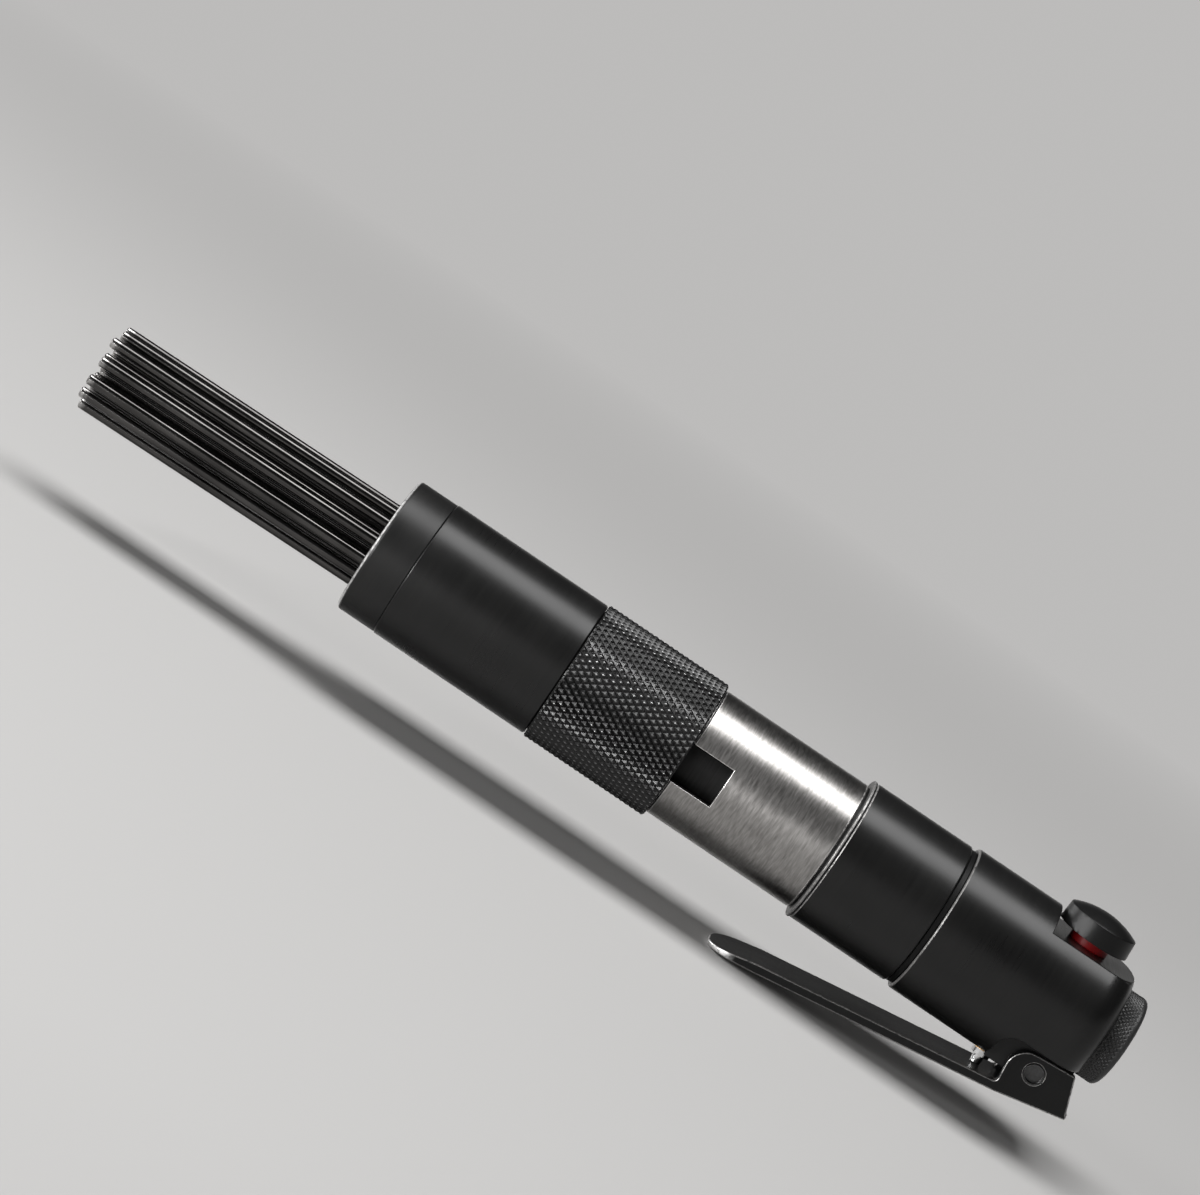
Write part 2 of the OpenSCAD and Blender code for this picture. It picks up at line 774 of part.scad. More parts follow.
// Plan outline of the lever's plate
module plate_outline() {
    half = lever_w / 2;
    translate([lever_tip_round - lever_reach, -half])
    square([lever_reach - lever_tip_round + heel_len, lever_w]);
    translate([-lever_reach, lever_tip_round - half])
    square([lever_tip_round, lever_w - 2 * lever_tip_round]);
    for (side = [-1, 1])
        translate([lever_tip_round - lever_reach, side * (half - lever_tip_round)])
        circle(lever_tip_round);
}

// Squeeze lever: a flat plate whose two ears straddle the lug
module throttle_lever() {
    color([0.08, 0.08, 0.08])
    translate([-pivot_s, 0, pivot_z]) rotate([0, -lever_rest, 0])
    difference() {
        union() {
            intersection() {
                translate([0, 0, -plate_drop - lever_t]) linear_extrude(lever_t) plate_outline();
                side_plate(-lever_w / 2, lever_w) plate_side();
            }
            for (y = [-lever_w / 2, lever_w / 2 - lever_t])
                side_plate(y, lever_t) ear_outline();
        }
        translate([0, -lever_w, 0]) rotate([-90, 0, 0])
        cylinder(h = 2 * lever_w, r = pin_r + run_clear);
    }
}

// Pivot pin with dished ends
module lever_pin() {
    length = lever_w + 2 * pin_proud;
    color([0.25, 0.25, 0.26])
    translate([-pivot_s, -length / 2, pivot_z]) rotate([-90, 0, 0])
    difference() {
        cylinder(h = length, r = pin_r);
        for (z = [-cut, length - pin_dish])
            translate([0, 0, z]) cylinder(h = pin_dish + cut, r = pin_dish_r);
    }
}

// Valve pin with a slim domed tip below and a poppet above
module valve_pin() {
    thick_h = gallery_z - face_gap - valve_tip_z;
    color("silver") translate([-valve_s, 0, valve_tip_z]) rotate_extrude() {
        intersection() {
            square([pin_tip_r, dome_h]);
            translate([0, dome_r]) circle(dome_r);
        }
        translate([0, dome_h]) square([pin_tip_r, pin_tip_len]);
        translate([0, pin_tip_len]) square([valve_pin_r, thick_h - pin_tip_len]);
        square([stem_r, poppet_z + poppet_t - valve_tip_z]);
        translate([0, poppet_z - valve_tip_z]) square([washer_r, poppet_t]);
    }
}

// Sealing washer under the poppet
module valve_washer() {
    color([0.05, 0.05, 0.05]) translate([-valve_s, 0, washer_z]) difference() {
        cylinder(h = washer_t, r = washer_r);
        translate([0, 0, -cut]) cylinder(h = washer_t + 2 * cut, r = stem_r + seat_clear);
    }
}

// Spring that closes the throttle valve
module valve_spring() {
    color("silver") translate([-valve_s, 0, valve_spring_z0])
    coil(valve_spring_r, valve_spring_h, valve_spring_turns, valve_spring_wire);
}

// Bush that guides the valve pin and carries the valve seat
module valve_bush() {
    color("peru") translate([-valve_s, 0, 0]) difference() {
        translate([0, 0, bush_z0]) cylinder(h = bush_len, r = bush_r);
        translate([0, 0, bush_z0 - cut]) cylinder(h = bush_len, r = valve_pin_r + run_clear);
        translate([0, 0, gallery_z]) cylinder(h = bush_len, r = gallery_r);
        translate([-bush_r - cut, 0, (gallery_z + seat_z) / 2]) rotate([0, 90, 0])
        cylinder(h = 2 * (bush_r + cut), r = bush_port_r);
        translate([0, 0, bush_seal_z]) ring_groove(bush_r, bush_seal_w);
    }
}

// Ring seal round the valve bush
module bush_seal() {
    color([0.05, 0.05, 0.05]) translate([-valve_s, 0, bush_seal_z])
    rotate_extrude() translate([bush_r - bush_seal_w, 0]) circle(bush_seal_w);
}

nose_ring();
front_tube();
return_spring();
needle_holder();
knurled_collar();
steel_sleeve();
barrel();
piston();
anvil();
anvil_bush();
sleeve_seal_ring();
mid_housing();
valve_block();
valve_disc();
valve_cover();
handle_seal_ring();
handle();
inlet_bushing();
inlet_screen();
regulator_knob();
regulator_spindle();
spindle_seal();
regulator_gland();
throttle_lever();
lever_pin();
valve_pin();
valve_washer();
valve_spring();
valve_bush();
bush_seal();
for (i = [1:needle_count])
    needle(i - 1);
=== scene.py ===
"""Looks of an air needle scaler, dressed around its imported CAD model."""

import json
import math

import bpy
from mathutils import Matrix, Vector


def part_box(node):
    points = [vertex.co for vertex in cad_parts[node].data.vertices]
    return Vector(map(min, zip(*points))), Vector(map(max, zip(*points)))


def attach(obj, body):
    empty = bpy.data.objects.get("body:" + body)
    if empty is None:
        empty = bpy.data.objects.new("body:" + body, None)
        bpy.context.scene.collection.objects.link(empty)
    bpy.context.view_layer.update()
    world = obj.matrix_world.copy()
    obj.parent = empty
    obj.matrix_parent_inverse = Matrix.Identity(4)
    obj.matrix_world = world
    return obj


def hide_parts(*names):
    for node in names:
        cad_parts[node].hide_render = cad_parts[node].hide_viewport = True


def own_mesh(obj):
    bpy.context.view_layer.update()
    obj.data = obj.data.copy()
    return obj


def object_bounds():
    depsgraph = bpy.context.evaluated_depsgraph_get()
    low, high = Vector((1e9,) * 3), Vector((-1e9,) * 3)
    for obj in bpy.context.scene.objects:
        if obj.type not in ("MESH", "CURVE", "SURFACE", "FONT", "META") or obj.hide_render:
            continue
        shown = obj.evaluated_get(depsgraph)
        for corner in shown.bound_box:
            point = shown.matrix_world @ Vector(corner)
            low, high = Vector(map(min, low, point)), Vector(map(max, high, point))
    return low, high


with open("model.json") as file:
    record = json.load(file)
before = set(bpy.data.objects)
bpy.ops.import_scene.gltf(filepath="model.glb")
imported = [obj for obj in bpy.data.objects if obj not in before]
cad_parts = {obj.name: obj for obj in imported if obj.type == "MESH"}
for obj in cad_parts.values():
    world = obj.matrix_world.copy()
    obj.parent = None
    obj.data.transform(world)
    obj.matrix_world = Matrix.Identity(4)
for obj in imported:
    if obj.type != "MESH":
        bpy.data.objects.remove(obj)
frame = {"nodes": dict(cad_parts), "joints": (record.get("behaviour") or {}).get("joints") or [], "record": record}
cad_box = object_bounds()

MM = 0.001
nodes = frame["nodes"]
slot_of = {row["node"]: row["material_slot"] for row in frame["record"]["subparts"]}


# Material nodes

class Graph:
    """One material's nodes. Places are the piece's own coordinates, in metres."""

    def __init__(self, name):
        self.name = name
        self.material = bpy.data.materials.new(name)
        self.material.use_nodes = True
        self.tree = self.material.node_tree
        self.shader = self.tree.nodes["Principled BSDF"]
        self.place = self.add("ShaderNodeTexCoord").outputs["Object"]

    def add(self, kind, inputs=None, **settings):
        """A new node with its settings, and its inputs by name or number."""
        node = self.tree.nodes.new(kind)
        for name, value in settings.items():
            setattr(node, name, value)
        for name, value in (inputs or {}).items():
            self.put(node.inputs[name], value)
        return node

    def put(self, socket, value):
        """Links an output to an input, or sets the input's own value."""
        if isinstance(value, bpy.types.NodeSocket):
            self.tree.links.new(value, socket)
        else:
            socket.default_value = value

    def shade(self, **sockets):
        """Fills inputs of the surface shader, with underscores for spaces."""
        for name, value in sockets.items():
            self.put(self.shader.inputs[name.replace("_", " ")], value)

    def now(self, name):
        """What a shader input holds: the output linked to it, or its own value."""
        socket = self.shader.inputs[name]
        return socket.links[0].from_socket if socket.is_linked else socket.default_value

    def noise(self, waves, detail=2.0):
        """Noise from 0 to 1, with so many waves to a metre along X, Y and Z."""
        mapped = self.add("ShaderNodeMapping", {"Vector": self.place, "Scale": waves})
        texture = self.add("ShaderNodeTexNoise", {
            "Vector": mapped.outputs["Vector"], "Scale": 1.0, "Detail": detail})
        return texture.outputs["Fac"]

    def span(self, value, low, high, to_low=0.0, to_high=1.0):
        """How far a value has come from low to high, held at both ends."""
        node = self.add("ShaderNodeMapRange", {
            "Value": value, "From Min": low, "From Max": high,
            "To Min": to_low, "To Max": to_high})
        return node.outputs["Result"]

    def mix(self, share, first, second):
        """A colour between two others."""
        node = self.add("ShaderNodeMix", data_type="RGBA")
        for index, value in ((0, share), (6, first), (7, second)):
            self.put(node.inputs[index], value)
        return node.outputs[2]

    def between(self, share, first, second):
        """A number between two others."""
        node = self.add("ShaderNodeMix", data_type="FLOAT")
        for index, value in ((0, share), (2, first), (3, second)):
            self.put(node.inputs[index], value)
        return node.outputs[0]

    def math(self, operation, first, second=0.0):
        """One of Blender's sums of two numbers."""
        node = self.add("ShaderNodeMath", operation=operation)
        self.put(node.inputs[0], first)
        self.put(node.inputs[1], second)
        return node.outputs["Value"]

    def bump(self, height, depth, below=None):
        """Normal of a height from 0 to 1 over so many metres, on top of another normal."""
        node = self.add("ShaderNodeBump", {"Height": height, "Distance": depth})
        if below:
            self.put(node.inputs["Normal"], below)
        return node.outputs["Normal"]

    def along(self, axis):
        """Distance along one axis."""
        split = self.add("ShaderNodeSeparateXYZ", {"Vector": self.place})
        return split.outputs[axis]

    def radius(self):
        """Distance from the tool's axis."""
        flat = self.add("ShaderNodeVectorMath", {0: self.place, 1: (0, 1, 1)}, operation="MULTIPLY")
        return self.add("ShaderNodeVectorMath", {0: flat.outputs["Vector"]},
                        operation="LENGTH").outputs["Value"]


def grey(level, warmth=0.0):
    """A grey, a little warm or cool."""
    return (level * (1 + warmth), level, level * (1 - warmth), 1.0)


# Waves to a metre of the marks that tools leave, along X, Y and Z
ROUND_THE_AXIS = (2600, 70, 70)
COARSE_ROUND = (2100, 300, 300)
ALONG_THE_AXIS = (14, 2400, 2400)
ALL_WAYS = (1500, 1500, 1500)
PATCHES = (70, 90, 90)
SMUDGES = (32, 38, 38)
GRAIN = (5200, 5200, 5200)
# Patches of wear and of painted highlight
SPOT_WAVES = (900, 900, 900)
MARK_DETAIL, PATCH_DETAIL = 3.0, 4.0

# Spans of noise over which the tone, the roughness, and the patches of wear and painted highlight change
TONE_LOW, TONE_HIGH = 0.3, 0.7
ROUGH_LOW, ROUGH_HIGH = 0.32, 0.68
SPOT_LOW, SPOT_HIGH = 0.25, 0.55
EDGE_SOFTNESS = 0.12

EDGE_ROUGH = (0.26, 0.42)
EDGE_METAL = 0.2
RING_ROUGH = 0.5
QUARTER_TURN = 0.25
# How upright a face is where the painted highlight on the lever's tip begins and where it is full, as the height
# of its normal
RIM_BEGIN, RIM_FULL = 0.75, 0.45


def finish(name, dark, light, rough, metal=0.0, specular=0.5, marks=ROUND_THE_AXIS,
           mark_share=0.4, mark_depth=0.004 * MM, grain_depth=0.002 * MM):
    """A finish whose tone drifts in patches, with tool marks and a fine grain."""
    g = Graph(name)
    tool_marks = g.noise(marks, MARK_DETAIL)
    smudges = g.noise(SMUDGES, PATCH_DETAIL)
    tone = g.between(mark_share, g.noise(PATCHES, PATCH_DETAIL), tool_marks)
    g.shade(Base_Color=g.mix(g.span(tone, TONE_LOW, TONE_HIGH), dark, light))
    drift = g.between(mark_share, smudges, tool_marks)
    g.shade(Roughness=g.span(drift, ROUGH_LOW, ROUGH_HIGH, *rough))
    g.shade(Metallic=metal, Specular_IOR_Level=specular)
    g.shade(Normal=g.bump(g.noise(GRAIN), grain_depth, g.bump(tool_marks, mark_depth)))
    return g


def turned(g, amount):
    """Draws the shine out along the axis, as marks round the axis do."""
    round_axis = g.add("ShaderNodeTangent", direction_type="RADIAL", axis="X")
    g.shade(Tangent=round_axis.outputs["Tangent"], Anisotropic=amount,
            Anisotropic_Rotation=QUARTER_TURN)


def edge_highlight_and_wear(name, edge_tone, bare, share):
    """Edge of a piece, painted lighter as a highlight line, and rubbed down to bare metal in places."""
    g = Graph(name)
    spots = g.noise(SPOT_WAVES, PATCH_DETAIL)
    rubbed = g.span(spots, share - EDGE_SOFTNESS, share + EDGE_SOFTNESS)
    g.shade(Base_Color=g.mix(rubbed, edge_tone, bare))
    g.shade(Metallic=g.between(rubbed, EDGE_METAL, 1.0))
    g.shade(Roughness=g.span(g.noise(ALL_WAYS), TONE_LOW, TONE_HIGH, *EDGE_ROUGH))
    return g


black = finish("satin_black", grey(0.004), grey(0.007, 0.02), (0.26, 0.36), specular=0.32)
nose = finish("nose_black", grey(0.005), grey(0.009, 0.02), (0.34, 0.44), specular=0.3)
knob = finish("knob_black", grey(0.003), grey(0.006), (0.3, 0.42), specular=0.24, marks=ALL_WAYS)
lever = finish("lever_black", grey(0.003), grey(0.006), (0.32, 0.46), specular=0.22, marks=ALL_WAYS)
steel = finish("brushed_steel", grey(0.18, 0.035), grey(0.39, 0.03), (0.33, 0.4), metal=1.0,
               marks=COARSE_ROUND, mark_share=0.65, mark_depth=0.022 * MM)
needle_metal = finish("needle_steel", grey(0.04, 0.03), grey(0.1, 0.03), (0.13, 0.22), metal=1.0,
                      marks=ALONG_THE_AXIS)
# Dark oxide steel, darkened further as painted shade for the inside seen through the sleeve's window
dark_steel = finish("dark_steel", grey(0.012), grey(0.03), (0.4, 0.56), metal=1.0)
spring = finish("spring_steel", grey(0.28), grey(0.42), (0.25, 0.38), metal=1.0, marks=ALL_WAYS)
pin_metal = finish("pin_steel", grey(0.05), grey(0.11), (0.26, 0.4), metal=1.0, marks=ALL_WAYS)
bright = finish("bright_steel", grey(0.6), grey(0.75), (0.08, 0.18), metal=1.0, marks=ALL_WAYS)
bronze = finish("bronze", (0.35, 0.2, 0.08, 1), (0.55, 0.34, 0.15, 1), (0.28, 0.42), metal=1.0)
rubber = finish("black_rubber", grey(0.002), grey(0.005), (0.4, 0.56), specular=0.16,
                marks=ALL_WAYS, grain_depth=0.006 * MM)
# The red is darkened: painted shade from the knob above it
gland = finish("red_gland", (0.13, 0.002, 0.003, 1), (0.22, 0.005, 0.006, 1), (0.34, 0.48),
               specular=0.2, marks=ALL_WAYS)
inlet = finish("inlet_black", grey(0.012), grey(0.026), (0.36, 0.52), marks=ALL_WAYS,
               grain_depth=0.012 * MM)
knurl = finish("knurled_black", grey(0.003), grey(0.005), (0.22, 0.3), specular=0.34, marks=ALL_WAYS)
turned(steel, amount=0.56)

# Edge colours for the lever's and the sleeve's bevels: painted highlight lines, with patches of bare-metal wear
edge_lever = edge_highlight_and_wear("edge_lever", grey(0.05), grey(0.36, 0.02), share=0.42)
edge_steel = edge_highlight_and_wear("edge_steel", grey(0.5, 0.02), grey(0.72, 0.02), share=0.4)

looks = {g.name: g.material for g in (
    black, nose, knob, lever, steel, needle_metal, dark_steel, spring, pin_metal, bright, bronze,
    rubber, gland, inlet, knurl)}


def wear_and_highlight(g, where, tone, rough=None):
    """Shows patchy bright metal where a mask from 0 to 1 says: bare-metal wear, and painted highlights drawn as
    bare metal.
    """
    spots = g.span(g.noise(SPOT_WAVES, MARK_DETAIL), SPOT_LOW, SPOT_HIGH)
    patchy = g.math("MULTIPLY", where, spots)
    g.shade(Base_Color=g.mix(patchy, g.now("Base Color"), tone))
    g.shade(Metallic=g.between(patchy, g.now("Metallic"), 1.0))
    if rough:
        g.shade(Roughness=g.between(patchy, g.now("Roughness"), rough))


def rub_tips(g, node, reach, tone):
    """Rubs the forward end of the needles, which is hammered bright."""
    tip_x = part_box(node)[0].x
    wear_and_highlight(g, g.span(g.along("X"), tip_x + 2 * reach, tip_x + reach / 2), tone)


def highlight_ring(g, x, reach, inner, tone):
    """Paints a bright ring round the axis at one station, outside a radius: a painted highlight line, drawn as
    bare metal.
    """
    off = g.math("ABSOLUTE", g.math("SUBTRACT", g.along("X"), x))
    outside = g.span(g.radius(), inner, inner + reach / 2)
    wear_and_highlight(g, g.math("MULTIPLY", g.span(off, reach, reach / 2), outside), tone, RING_ROUGH)


def highlight_lip(g, node, reach, tone):
    """Paints a highlight on the outer lip of a turned piece at its forward end, drawn as patchy bare metal."""
    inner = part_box(node)[1].z - 3 * reach / 2
    front = min(v.co.x for v in nodes[node].data.vertices if math.hypot(v.co.y, v.co.z) > inner)
    highlight_ring(g, front, reach, inner, tone)


def highlight_side(g, node, reach, tone):
    """Paints a highlight on the upright rim of a flat piece over its forward end, drawn as patchy bare metal."""
    tip_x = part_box(node)[0].x
    facing = g.add("ShaderNodeSeparateXYZ", {
        "Vector": g.add("ShaderNodeNewGeometry").outputs["True Normal"]})
    rim = g.span(g.math("ABSOLUTE", facing.outputs["Z"]), RIM_BEGIN, RIM_FULL)
    wear_and_highlight(g, g.math("MULTIPLY", rim, g.span(g.along("X"), tip_x + reach, tip_x + reach / 2)), tone)


# How far each wear and painted highlight reaches, and the bright metal's tone
TIP_WEAR = (1.2 * MM, grey(0.5, 0.02))
# Painted highlight on the lever's tip rim, drawn as bare metal
LEVER_TIP_HIGHLIGHT = (8 * MM, grey(0.75, 0.01))
# Painted highlights on the forward lips, drawn as patchy bare metal
LIP_HIGHLIGHTS = {
    "nose_ring": (nose, 0.6 * MM, grey(0.62, 0.01)),
    "mid_housing": (black, 0.5 * MM, grey(0.8, 0.02)),
    "handle": (black, 0.5 * MM, grey(0.34, 0.02)),
}
# Painted highlight line round the sleeve's seal ring, a little forward of the middle housing, drawn as bare metal
# on the rubber
SEAL_HIGHLIGHT_AHEAD, SEAL_HIGHLIGHT_REACH = 0.7 * MM, 0.34 * MM
SEAL_HIGHLIGHT_TONE = grey(0.36, 0.02)

rub_tips(needle_metal, "needle_01", *TIP_WEAR)
# Painted highlight on the lever's tip
for look in (lever, edge_lever):
    highlight_side(look, "throttle_lever", *LEVER_TIP_HIGHLIGHT)
# Painted highlights on the forward lips
for name, (look, reach, tone) in LIP_HIGHLIGHTS.items():
    highlight_lip(look, name, reach, tone)
# Painted highlight line on the seal ring
highlight_ring(rubber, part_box("mid_housing")[0].x - SEAL_HIGHLIGHT_AHEAD, SEAL_HIGHLIGHT_REACH, 0, SEAL_HIGHLIGHT_TONE)


# CAD nodes that stay: each gets its finish, and those that show get softly broken edges

EDGES = {
    "handle": (0.25 * MM, black), "mid_housing": (0.2 * MM, black),
    "front_tube": (0.12 * MM, black), "nose_ring": (0.1 * MM, nose),
    # Lighter edge colours on the sleeve and the lever: painted highlight lines
    "steel_sleeve": (0.18 * MM, edge_steel), "throttle_lever": (0.35 * MM, edge_lever),
    "regulator_knob": (0.1 * MM, knob), "regulator_gland": (0.2 * MM, gland),
    "lever_pin": (0.08 * MM, pin_metal), "sleeve_seal_ring": (0.08 * MM, rubber),
}
EDGE_ANGLE = math.radians(25)
EDGE_SEGMENTS = 2
FLAT_ANGLE = math.radians(0.2)
WELD = 0.001 * MM

for name, part in nodes.items():
    part.data.materials.clear()
    part.data.materials.append(looks[slot_of[name]])
    if name in EDGES:
        width, edge = EDGES[name]
        part.data.materials.append(edge.material)
        weld = part.modifiers.new("weld", "WELD")
        weld.merge_threshold = WELD
        flat = part.modifiers.new("flat", "DECIMATE")
        flat.decimate_type = "DISSOLVE"
        flat.angle_limit = FLAT_ANGLE
        bevel = part.modifiers.new("edges", "BEVEL")
        bevel.width = width
        bevel.segments = EDGE_SEGMENTS
        bevel.limit_method = "ANGLE"
        bevel.angle_limit = EDGE_ANGLE
        bevel.use_clamp_overlap = False
        bevel.loop_slide = False
        bevel.material = 1
        normals = part.modifiers.new("normals", "WEIGHTED_NORMAL")
        normals.keep_sharp = False


# Knurled pieces, made ring by ring

def ring_mesh(name, rows, columns):
    """A closed ring of rows, each with an X and a radius for every column round the axis."""
    turn = [2 * math.pi * i / columns for i in range(columns)]
    points = [(x, r * math.cos(a), r * math.sin(a)) for row in rows for a, (x, r) in zip(turn, row)]
    faces = []
    for j in range(len(rows)):
        near, far = rows[j], rows[(j + 1) % len(rows)]
        for i in range(columns):
            k = (i + 1) % columns
            a, b = j * columns + i, j * columns + k
            c, d = (j + 1) % len(rows) * columns + k, (j + 1) % len(rows) * columns + i
            if abs(near[i][1] - far[k][1]) <= abs(near[k][1] - far[i][1]):
                faces += [(a, b, c), (a, c, d)]
            else:
                faces += [(a, b, d), (b, c, d)]
    mesh = bpy.data.meshes.new(name)
    mesh.from_pydata(points, [], faces)
    piece = bpy.data.objects.new(name, mesh)
    bpy.context.scene.collection.objects.link(piece)
    return piece


def plain_row(x, r, columns):
    """A row with the same X and radius all round."""
    return [(x, r)] * columns


def radii_at(node, x):
    """Least and greatest distance from the axis of a CAD piece's points at one station."""
    found = [math.hypot(v.co.y, v.co.z) for v in nodes[node].data.vertices if abs(v.co.x - x) < WELD]
    return min(found), max(found)


def knurl_rows(x0, x1, r, starts, samples, periods, depth, land_share):
    """Rows of a diamond knurl between two stations, with a flat land on each diamond."""
    columns, count = starts * samples, round(periods * samples)
    rows = []
    for j in range(count + 1):
        row = []
        for i in range(columns):
            off = [abs((i + side * j) / samples - round((i + side * j) / samples)) for side in (-1, 1)]
            rise = min(1.0, min(off) * 2 / (1 - land_share))
            row.append((x0 + (x1 - x0) * j / count, r - depth * (1 - rise)))
        rows.append(row)
    return rows


def show(piece, body, node, material):
    """Puts a made piece on a body in place of a CAD node."""
    piece.data.materials.append(material)
    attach(piece, body)
    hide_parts(node)


COLLAR_STARTS, COLLAR_SAMPLES, COLLAR_PERIODS = 66, 8, 11.5
COLLAR_DEPTH, COLLAR_LAND_SHARE = 0.52 * MM, 0.1
COLLAR_EDGE = 0.5 * MM
# Depths below the crests where their wear begins and where it is full
CREST_BEGIN, CREST_FULL = 0.14 * MM, 0.04 * MM
CREST_TONE = grey(0.22)


def make_collar():
    """The collar with its diamond knurl, rubbed on the crests."""
    lo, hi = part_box("knurled_collar")
    bore, outer = radii_at("knurled_collar", lo.x)[0], hi.z
    columns = COLLAR_STARTS * COLLAR_SAMPLES
    rows = [plain_row(lo.x, bore, columns), plain_row(lo.x, outer - COLLAR_EDGE, columns)]
    rows += knurl_rows(lo.x + COLLAR_EDGE, hi.x - COLLAR_EDGE, outer, COLLAR_STARTS, COLLAR_SAMPLES,
                       COLLAR_PERIODS, COLLAR_DEPTH, COLLAR_LAND_SHARE)
    rows += [plain_row(hi.x, outer - COLLAR_EDGE, columns), plain_row(hi.x, bore, columns)]
    wear_and_highlight(knurl, knurl.span(knurl.radius(), outer - CREST_BEGIN, outer - CREST_FULL), CREST_TONE)
    show(ring_mesh("collar_knurl", rows, columns), "collar", "knurled_collar", knurl.material)


INLET_STARTS, INLET_SAMPLES, INLET_PERIODS = 60, 6, 3
INLET_DEPTH, INLET_LAND_SHARE = 0.2 * MM, 0.3
INLET_LIP = 0.5 * MM
ROUND_STEPS = 6
THREAD_PITCH, THREAD_DEPTH = 1.41 * MM, 0.9 * MM
THREAD_STEPS = 6
THREAD_LAND_SHARE = 0.2
MOUTH_FLARE = 1.0 * MM


def thread_rows(x0, x1, r, columns):
    """Rows of a thread cut outward from a bore, running out at its far end."""
    count = round(abs(x1 - x0) / THREAD_PITCH * THREAD_STEPS)
    rows = []
    for j in range(count + 1):
        x = x0 + (x1 - x0) * j / count
        depth = THREAD_DEPTH * min(1.0, (count - j) / THREAD_STEPS)
        row = []
        for i in range(columns):
            turns = x / THREAD_PITCH + i / columns
            row.append((x, r + depth * min(1.0, abs(turns - round(turns)) * 2 / (1 - THREAD_LAND_SHARE))))
        rows.append(row)
    return rows


def make_inlet():
    """The inlet bushing with its knurled rim, rounded mouth and thread."""
    lo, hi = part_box("inlet_bushing")
    throat, spigot = radii_at("inlet_bushing", lo.x)
    bore, face = radii_at("inlet_bushing", hi.x)
    outer, shoulder = hi.z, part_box("handle")[1].x
    depth = max(hi.x - v.co.x for v in nodes["inlet_bushing"].data.vertices
                if abs(math.hypot(v.co.y, v.co.z) - bore) < WELD)
    edge = outer - face
    columns = INLET_STARTS * INLET_SAMPLES
    rows = [plain_row(x, r, columns) for x, r in (
        (lo.x, throat), (lo.x, spigot), (shoulder, spigot), (shoulder, outer - INLET_LIP / 2),
        (shoulder + INLET_LIP / 2, outer))]
    rows += knurl_rows(shoulder + INLET_LIP, hi.x - edge - INLET_LIP / 2, outer, INLET_STARTS,
                       INLET_SAMPLES, INLET_PERIODS, INLET_DEPTH, INLET_LAND_SHARE)
    for step in range(ROUND_STEPS + 1):
        turn = math.pi / 2 * step / ROUND_STEPS
        rows.append(plain_row(hi.x - edge + edge * math.sin(turn),
                              outer - edge + edge * math.cos(turn), columns))
    rows.append(plain_row(hi.x, bore + MOUTH_FLARE, columns))
    rows += thread_rows(hi.x - MOUTH_FLARE, hi.x - depth, bore, columns)
    rows.append(plain_row(hi.x - depth, throat, columns))
    show(ring_mesh("inlet_knurl", rows, columns), "housing", "inlet_bushing", inlet.material)


# Coil springs, which shorten as their joints move

# Turns and wire of each spring
SPRINGS = {"return_spring": (9, 2.0 * MM), "valve_spring": (4, 0.7 * MM)}
WIRE_SIDES, COIL_STEPS = 10, 40
CLOSE_PITCH_SHARE = 1.06


def climb(turn, turns, wire, height):
    """How far the wire's middle has come after some turns: the end turns lie close."""
    close = wire * CLOSE_PITCH_SHARE
    if turn < 1:
        return close * turn
    if turn > turns - 1:
        return height - close * (turns - turn)
    return close + (height - 2 * close) * (turn - 1) / (turns - 2)


def coil_mesh(name, start, axis, radius, wire, height, turns):
    """A round wire wound about an axis from one end of it."""
    out = axis.orthogonal().normalized()
    count = turns * COIL_STEPS
    points, faces = [], []
    for i in range(count + 1):
        turn = i / COIL_STEPS
        away = Matrix.Rotation(2 * math.pi * turn, 3, axis) @ out
        middle = start + radius * away + (wire / 2 + climb(turn, turns, wire, height - wire)) * axis
        for k in range(WIRE_SIDES):
            side = 2 * math.pi * k / WIRE_SIDES
            points.append(middle + wire / 2 * (math.cos(side) * away + math.sin(side) * axis))
    for i in range(count):
        for k in range(WIRE_SIDES):
            a, b = i * WIRE_SIDES + k, i * WIRE_SIDES + (k + 1) % WIRE_SIDES
            faces.append((a, b, b + WIRE_SIDES, a + WIRE_SIDES))
    faces += [range(WIRE_SIDES - 1, -1, -1), range(count * WIRE_SIDES, (count + 1) * WIRE_SIDES)]
    mesh = bpy.data.meshes.new(name)
    mesh.from_pydata(points, [], faces)
    mesh.shade_smooth()
    piece = bpy.data.objects.new(name, mesh)
    bpy.context.scene.collection.objects.link(piece)
    return piece


def make_spring(node, letter):
    """A spring in its CAD solid's place, pressed towards its fixed end by a sliding joint."""
    lo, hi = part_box(node)
    turns, wire = SPRINGS[node]
    index = "xyz".index(letter)
    axis = Vector(1.0 if i == index else 0.0 for i in range(3))
    start = (lo + hi) / 2
    start[index] = lo[index]
    radius = (hi.y - lo.y - wire) / 2
    coil = coil_mesh(node + "_coil", start, axis, radius, wire, hi[index] - lo[index], turns)
    show(coil, "housing", node, spring.material)
    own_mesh(coil)


make_collar()
make_inlet()
for joint in frame["joints"]:
    for row in joint.get("deforming_nodes", []):
        letter = row["mode"][-1]
        make_spring(row["node"], letter)


# Camera at the photograph's angle

IMAGE_WIDTH, SENSOR_WIDTH = 1200, 36
CLIP_NEAR, CLIP_FAR = 0.01, 100
PIXELS_PER_MM = 3.85
FOCAL_PIXELS = 3850
ROLL = math.radians(33.96)
ELEVATION = math.radians(8.6)
TARGET_X, TARGET_UP = -176.9 * MM, 20.5 * MM

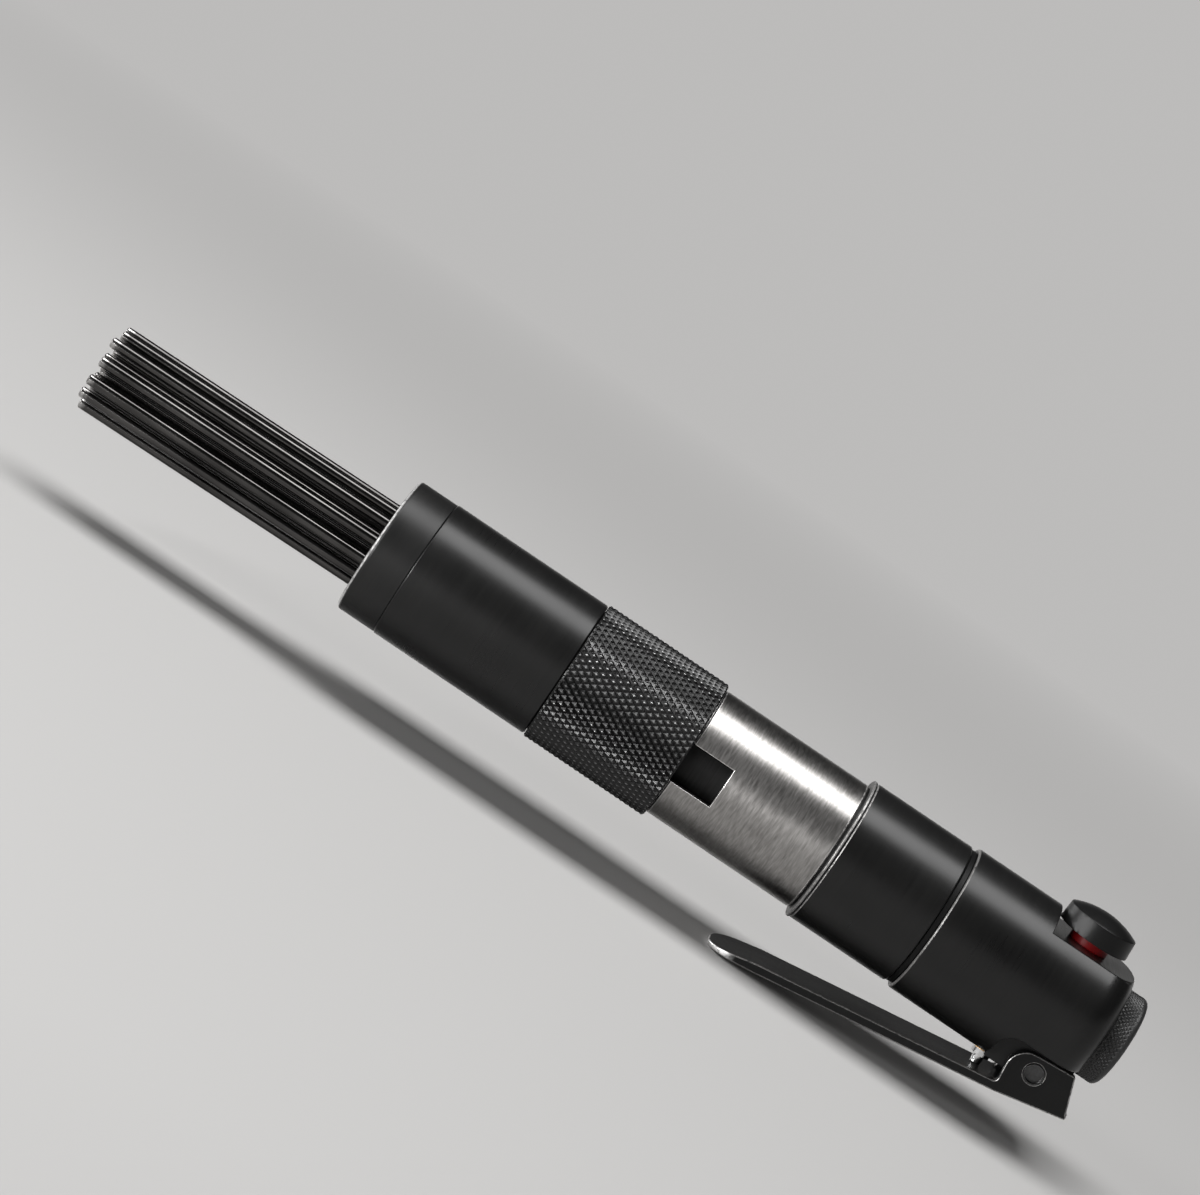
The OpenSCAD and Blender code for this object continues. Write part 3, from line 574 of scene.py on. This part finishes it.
sight = Vector((0, math.cos(ELEVATION), -math.sin(ELEVATION)))
upright = Vector((0, math.sin(ELEVATION), math.cos(ELEVATION)))
tool_axis = Vector((1, 0, 0))
target = TARGET_X * tool_axis + TARGET_UP * upright
distance = FOCAL_PIXELS / PIXELS_PER_MM * MM
right = math.cos(ROLL) * tool_axis + math.sin(ROLL) * upright
up = -math.sin(ROLL) * tool_axis + math.cos(ROLL) * upright

camera_data = bpy.data.cameras.new("camera")
camera_data.sensor_width = SENSOR_WIDTH
camera_data.lens = FOCAL_PIXELS / IMAGE_WIDTH * SENSOR_WIDTH
camera_data.clip_start, camera_data.clip_end = CLIP_NEAR, CLIP_FAR
camera = bpy.data.objects.new("camera", camera_data)
bpy.context.scene.collection.objects.link(camera)
camera.matrix_world = Matrix.Translation(target - distance * sight) @ Matrix(
    (right, up, -sight)).transposed().to_4x4()
bpy.context.scene.camera = camera


# Pale floor and backdrop, soft light

PALE, PALE_MATT, CEILING = grey(0.5, 0.012), grey(0.43, 0.012), grey(0.04)
FLOOR_SIZE = 12.0
FADE_NEAR, FADE_FAR = 0.35, 1.1
HORIZON_TOP, CEILING_FOOT = math.sin(math.radians(6)), math.sin(math.radians(16))

# Each lamp's place as seen from the middle of the tool, its size and its power
LAMPS = {
    "overhead": ((-0.45, -0.17, 1.8), (2.4, 0.95), 52),
    "left": ((-0.77, -0.64, 0.01), (1.1, 0.09), 11.5),
    "rim": ((-0.9, 0.45, 0.05), (0.5, 0.15), 2.8),
    "key": ((-0.78, -0.83, 0.5), (0.14, 0.6), 4.4),
}


def seen_ray(tree):
    """1 for rays that show the background: camera, glossy and transmission rays."""
    rays = tree.nodes.new("ShaderNodeLightPath")
    total = rays.outputs["Is Camera Ray"]
    for name in ("Is Glossy Ray", "Is Transmission Ray"):
        node = tree.nodes.new("ShaderNodeMath")
        node.operation = "MAXIMUM"
        tree.links.new(total, node.inputs[0])
        tree.links.new(rays.outputs[name], node.inputs[1])
        total = node.outputs["Value"]
    return total


def make_floor():
    """A matt floor under the tool, fading into an even backdrop."""
    centre, low = (cad_box[0].x + cad_box[1].x) / 2, cad_box[0].z
    half = FLOOR_SIZE / 2
    mesh = bpy.data.meshes.new("floor")
    mesh.from_pydata([(centre + x, y, low) for x, y in
                      ((-half, -half), (half, -half), (half, half), (-half, half))],
                     [], [(0, 1, 2, 3)])
    floor = bpy.data.objects.new("floor", mesh)
    bpy.context.scene.collection.objects.link(floor)
    g = Graph("pale_floor")
    tree = g.tree
    tree.nodes.remove(g.shader)
    matt = g.add("ShaderNodeBsdfDiffuse", {"Color": PALE_MATT})
    glow = g.add("ShaderNodeEmission", {"Color": PALE, "Strength": 1.0})
    offset = g.add("ShaderNodeVectorMath", {0: g.place, 1: (centre, 0, low)}, operation="SUBTRACT")
    away = g.add("ShaderNodeVectorMath", {0: offset.outputs["Vector"]}, operation="LENGTH")
    far = g.span(away.outputs["Value"], FADE_NEAR, FADE_FAR)
    mixed = g.add("ShaderNodeMixShader", {
        0: g.math("MULTIPLY", far, seen_ray(tree)),
        1: matt.outputs["BSDF"], 2: glow.outputs["Emission"]})
    g.put(tree.nodes["Material Output"].inputs["Surface"], mixed.outputs["Shader"])
    mesh.materials.append(g.material)


def make_world():
    """Pale round the horizon, darker overhead."""
    world = bpy.data.worlds.new("studio")
    bpy.context.scene.world = world
    world.use_nodes = True
    tree = world.node_tree
    height = tree.nodes.new("ShaderNodeSeparateXYZ")
    tree.links.new(tree.nodes.new("ShaderNodeTexCoord").outputs["Generated"], height.inputs["Vector"])
    share = tree.nodes.new("ShaderNodeMapRange")
    tree.links.new(height.outputs["Z"], share.inputs["Value"])
    share.inputs["From Min"].default_value = HORIZON_TOP
    share.inputs["From Max"].default_value = CEILING_FOOT
    tint = tree.nodes.new("ShaderNodeMix")
    tint.data_type = "RGBA"
    tree.links.new(share.outputs["Result"], tint.inputs[0])
    tint.inputs[6].default_value, tint.inputs[7].default_value = PALE, CEILING
    tree.links.new(tint.outputs[2], tree.nodes["Background"].inputs["Color"])


def softbox(name, place, size, power):
    """A rectangular lamp at a place seen from the middle of the tool, turned towards it."""
    data = bpy.data.lights.new(name, "AREA")
    data.shape = "RECTANGLE"
    data.size, data.size_y = size
    data.energy = power
    lamp = bpy.data.objects.new(name, data)
    bpy.context.scene.collection.objects.link(lamp)
    lamp.location = (cad_box[0] + cad_box[1]) / 2 + Vector(place)
    swing = math.atan2(place[1], place[0]) + math.pi / 2
    lamp.rotation_euler = (math.acos(place[2] / Vector(place).length), 0, swing)
    lamp.visible_camera = False
    return lamp


make_floor()
make_world()
lamps = {name: softbox(name, *values) for name, values in LAMPS.items()}
# The overhead lamp hangs level
lamps["overhead"].rotation_euler = (0, 0, 0)

bpy.context.scene.view_settings.view_transform = "Standard"
